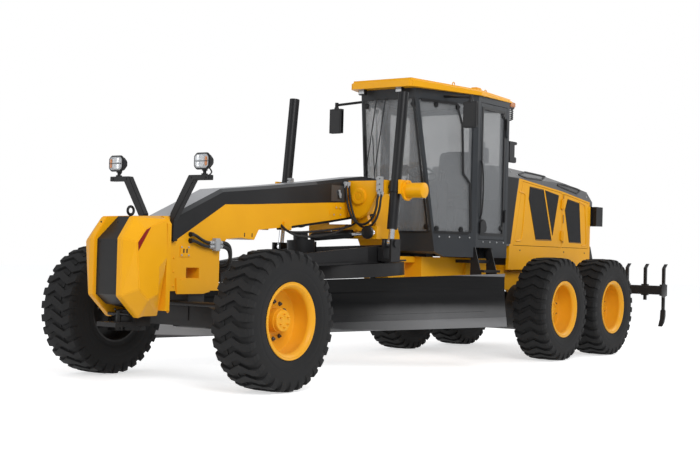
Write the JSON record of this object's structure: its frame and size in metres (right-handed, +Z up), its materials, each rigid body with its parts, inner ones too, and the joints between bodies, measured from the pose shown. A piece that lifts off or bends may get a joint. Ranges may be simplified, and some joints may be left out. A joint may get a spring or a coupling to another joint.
{
  "type": "motor grader",
  "caption": "Articulated motor grader with cab, rear engine hood, tandem drive, leaning front wheels, drawbar, circle, side-shift blade and rear ripper.",
  "frame": {"origin": "on the ground, half way along and across the overall box", "axes": "+X forward, +Y to the machine's left, +Z up"},
  "size_m": [10.227, 3.318, 3.3319],
  "materials": {
    "yellow_paint": "semi-gloss",
    "dark_grey_paint": "satin",
    "black_paint": "satin",
    "chrome_rod": "polished",
    "window_glass": "clear",
    "tyre_rubber": "matt",
    "hose_rubber": "matt",
    "cast_block": "rough",
    "seat_trim": "woven"
  },
  "bodies": {
    "rear_frame": {"rear_chassis": "yellow_paint", "rear_axle": "black_paint", "hood_shell": "yellow_paint", "hood_cowl": "dark_grey_paint", "hood_grille": "black_paint", "exhaust": "black_paint", "engine_block": "cast_block", "cab_frame": "dark_grey_paint", "cab_glass": "window_glass", "cab_roof": "yellow_paint", "cab_base": "dark_grey_paint", "cab_ladders": "black_paint", "mirrors": "black_paint", "operator_station": "seat_trim"},
    "front_frame": {"front_column": "yellow_paint", "neck_beam": "yellow_paint", "neck_rear": "yellow_paint", "nose_block": "black_paint", "nose_cheeks": "yellow_paint", "head_lamps": "black_paint", "front_axle": "black_paint", "lift_saddle": "yellow_paint", "frame_hoses": "hose_rubber"},
    "steer_rod": {"steer_rod": "chrome_rod"},
    "lean_bar": {"lean_bar": "black_paint"},
    "lift_barrels": {"lift_barrels": "black_paint"},
    "lift_rods": {"lift_rods": "chrome_rod"},
    "centre_shift_rod": {"centre_shift_rod": "chrome_rod"},
    "centre_shift_barrel": {"centre_shift_barrel": "black_paint"},
    "drawbar": {"drawbar": "black_paint"},
    "circle": {"circle": "black_paint"},
    "blade_carrier": {"blade_carrier": "black_paint"},
    "moldboard": {"moldboard": "black_paint"},
    "ripper": {"ripper_frame": "black_paint"},
    "ripper_barrel": {"ripper_barrel": "black_paint"},
    "ripper_rod": {"ripper_rod": "chrome_rod"},
    "cab_door_left": {"cab_door_left": "dark_grey_paint", "cab_door_glass_left": "window_glass"},
    "hood_door_front_left": {"hood_door_front_left": "yellow_paint"},
    "hood_door_rear_left": {"hood_door_rear_left": "yellow_paint"},
    "lean_frame_left": {"lean_frame_left": "black_paint"},
    "knuckle_left": {"knuckle_left": "black_paint"},
    "cab_door_right": {"cab_door_right": "dark_grey_paint", "cab_door_glass_right": "window_glass"},
    "hood_door_front_right": {"hood_door_front_right": "yellow_paint"},
    "hood_door_rear_right": {"hood_door_rear_right": "yellow_paint"},
    "lean_frame_right": {"lean_frame_right": "black_paint"},
    "knuckle_right": {"knuckle_right": "black_paint"},
    "wheel_front_left": {"tyre_front_left": "tyre_rubber", "rim_front_left": "yellow_paint"},
    "wheel_front_right": {"tyre_front_right": "tyre_rubber", "rim_front_right": "yellow_paint"},
    "wheel_tandem_front_left": {"tyre_tandem_front_left": "tyre_rubber", "rim_tandem_front_left": "yellow_paint"},
    "wheel_tandem_front_right": {"tyre_tandem_front_right": "tyre_rubber", "rim_tandem_front_right": "yellow_paint"},
    "wheel_tandem_rear_left": {"tyre_tandem_rear_left": "tyre_rubber", "rim_tandem_rear_left": "yellow_paint"},
    "wheel_tandem_rear_right": {"tyre_tandem_rear_right": "tyre_rubber", "rim_tandem_rear_right": "yellow_paint"}
  },
  "joints": [
    {"name": "articulation", "type": "hinge", "parent": "rear_frame", "child": "front_frame", "pos_m": [0.4615, 0, 1.03], "axis": [0, 0, -1], "range_deg": [-25, 25]},
    {"name": "lean_left", "type": "hinge", "parent": "front_frame", "child": "lean_frame_left", "pos_m": [4.0675, 0.775, 0.6], "axis": [1, 0, 0], "range_deg": [-17, 17]},
    {"name": "steer_left", "type": "hinge", "parent": "lean_frame_left", "child": "knuckle_left", "pos_m": [4.0675, 0.9, 0.648], "axis": [0, 0, 1], "range_deg": [-40, 40]},
    {"name": "lean_right", "type": "hinge", "parent": "front_frame", "child": "lean_frame_right", "pos_m": [4.0675, -0.775, 0.6], "axis": [1, 0, 0], "range_deg": [-17, 17]},
    {"name": "steer_right", "type": "hinge", "parent": "lean_frame_right", "child": "knuckle_right", "pos_m": [4.0675, -0.9, 0.648], "axis": [0, 0, 1], "range_deg": [-40, 40]},
    {"name": "spin_front_left", "type": "hinge", "parent": "knuckle_left", "child": "wheel_front_left", "pos_m": [4.0675, 1.114, 0.648], "axis": [0, 1, 0], "continuous": true},
    {"name": "spin_front_right", "type": "hinge", "parent": "knuckle_right", "child": "wheel_front_right", "pos_m": [4.0675, -1.114, 0.648], "axis": [0, 1, 0], "continuous": true},
    {"name": "spin_tandem_front_left", "type": "hinge", "parent": "rear_frame", "child": "wheel_tandem_front_left", "pos_m": [-1.4535, 1.114, 0.648], "axis": [0, 1, 0], "continuous": true},
    {"name": "spin_tandem_front_right", "type": "hinge", "parent": "rear_frame", "child": "wheel_tandem_front_right", "pos_m": [-1.4535, -1.114, 0.648], "axis": [0, 1, 0], "continuous": true},
    {"name": "spin_tandem_rear_left", "type": "hinge", "parent": "rear_frame", "child": "wheel_tandem_rear_left", "pos_m": [-2.9235, 1.114, 0.648], "axis": [0, 1, 0], "continuous": true},
    {"name": "spin_tandem_rear_right", "type": "hinge", "parent": "rear_frame", "child": "wheel_tandem_rear_right", "pos_m": [-2.9235, -1.114, 0.648], "axis": [0, 1, 0], "continuous": true},
    {"name": "steer_rod_slide", "type": "slide", "parent": "front_frame", "child": "steer_rod", "axis": [0, -1, 0], "range_m": [-0.2, 0.2]},
    {"name": "lean_bar_swing", "type": "hinge", "parent": "lean_frame_left", "child": "lean_bar", "pos_m": [4.2175, 0.775, 0.76], "axis": [1, 0, 0], "range_deg": [-17.5, 17.5]},
    {"name": "drawbar_lift", "type": "hinge", "parent": "front_frame", "child": "drawbar", "pos_m": [3.6615, 0, 1.05], "axis": [0, 1, 0], "range_deg": [-22, 0]},
    {"name": "circle_turn", "type": "hinge", "parent": "drawbar", "child": "circle", "pos_m": [1.69203, -0.00405, 1.15092], "axis": [0.0436, -0.0401, 0.9982], "range_deg": [-85, 14]},
    {"name": "blade_tip", "type": "hinge", "parent": "circle", "child": "blade_carrier", "pos_m": [1.60907, -0.02091, 0.55281], "axis": [-0.583, 0.8104, 0.058], "range_deg": [-3, 30]},
    {"name": "blade_shift", "type": "slide", "parent": "blade_carrier", "child": "moldboard", "axis": [-0.583, 0.8104, 0.058], "range_m": [-0.6, 0.6]},
    {"name": "lift_swing", "type": "hinge", "parent": "front_frame", "child": "lift_barrels", "pos_m": [1.6065, 0, 2.01], "axis": [0, -1, 0], "range_deg": [-1, 8]},
    {"name": "lift_slide", "type": "slide", "parent": "lift_barrels", "child": "lift_rods", "axis": [0.108, 0, -0.9942], "range_m": [-0.01, 0.8]},
    {"name": "centre_shift_swing", "type": "hinge", "parent": "front_frame", "child": "centre_shift_rod", "pos_m": [1.6615, 0.48, 1.512], "axis": [1, 0, 0], "range_deg": [-1, 60]},
    {"name": "centre_shift_slide", "type": "slide", "parent": "centre_shift_rod", "child": "centre_shift_barrel", "axis": [0, -0.9973, -0.0729], "range_m": [-0.01, 0.5]},
    {"name": "cab_door_left", "type": "hinge", "parent": "rear_frame", "child": "cab_door_left", "pos_m": [-0.9505, 0.715, 2.3], "axis": [0, 0, 1], "range_deg": [0, 100]},
    {"name": "hood_door_front_left", "type": "hinge", "parent": "rear_frame", "child": "hood_door_front_left", "pos_m": [-2.9105, 0.535, 1.82], "axis": [0, 0, 1], "range_deg": [0, 75]},
    {"name": "hood_door_rear_left", "type": "hinge", "parent": "rear_frame", "child": "hood_door_rear_left", "pos_m": [-2.9465, 0.535, 1.82], "axis": [0, 0, -1], "range_deg": [0, 75]},
    {"name": "cab_door_right", "type": "hinge", "parent": "rear_frame", "child": "cab_door_right", "pos_m": [-0.9505, -0.715, 2.3], "axis": [0, 0, -1], "range_deg": [0, 100]},
    {"name": "hood_door_front_right", "type": "hinge", "parent": "rear_frame", "child": "hood_door_front_right", "pos_m": [-2.9105, -0.535, 1.82], "axis": [0, 0, -1], "range_deg": [0, 75]},
    {"name": "hood_door_rear_right", "type": "hinge", "parent": "rear_frame", "child": "hood_door_rear_right", "pos_m": [-2.9465, -0.535, 1.82], "axis": [0, 0, 1], "range_deg": [0, 75]},
    {"name": "ripper_lift", "type": "hinge", "parent": "rear_frame", "child": "ripper", "pos_m": [-4.0885, 0, 0.86], "axis": [0, 1, 0], "range_deg": [-25, 0]},
    {"name": "ripper_cylinder_swing", "type": "hinge", "parent": "rear_frame", "child": "ripper_barrel", "pos_m": [-4.0385, 0, 1.29], "axis": [0, 1, 0], "range_deg": [-30, 1]},
    {"name": "ripper_cylinder_slide", "type": "slide", "parent": "ripper_barrel", "child": "ripper_rod", "axis": [-0.9784, 0, 0.2067], "range_m": [-0.01, 0.25]}
  ],
  "couplings": [
    {"joint": "lean_right", "follows": "lean_left", "ratio": 1},
    {"joint": "steer_right", "follows": "steer_left", "ratio": 1},
    {"joint": "steer_rod_slide", "follows": "steer_left", "m_per_rad": 0.2},
    {"joint": "lean_bar_swing", "follows": "lean_left", "ratio": -1},
    {"joint": "lift_swing", "follows": "drawbar_lift", "ratio": -0.10265},
    {"joint": "lift_slide", "follows": "drawbar_lift", "m_per_rad": -1.9443},
    {"joint": "centre_shift_swing", "follows": "drawbar_lift", "ratio": -1.9452},
    {"joint": "centre_shift_slide", "follows": "drawbar_lift", "m_per_rad": -0.94036},
    {"joint": "ripper_cylinder_swing", "follows": "ripper_lift", "ratio": 0.94094},
    {"joint": "ripper_cylinder_slide", "follows": "ripper_lift", "m_per_rad": -0.42678}
  ]
}
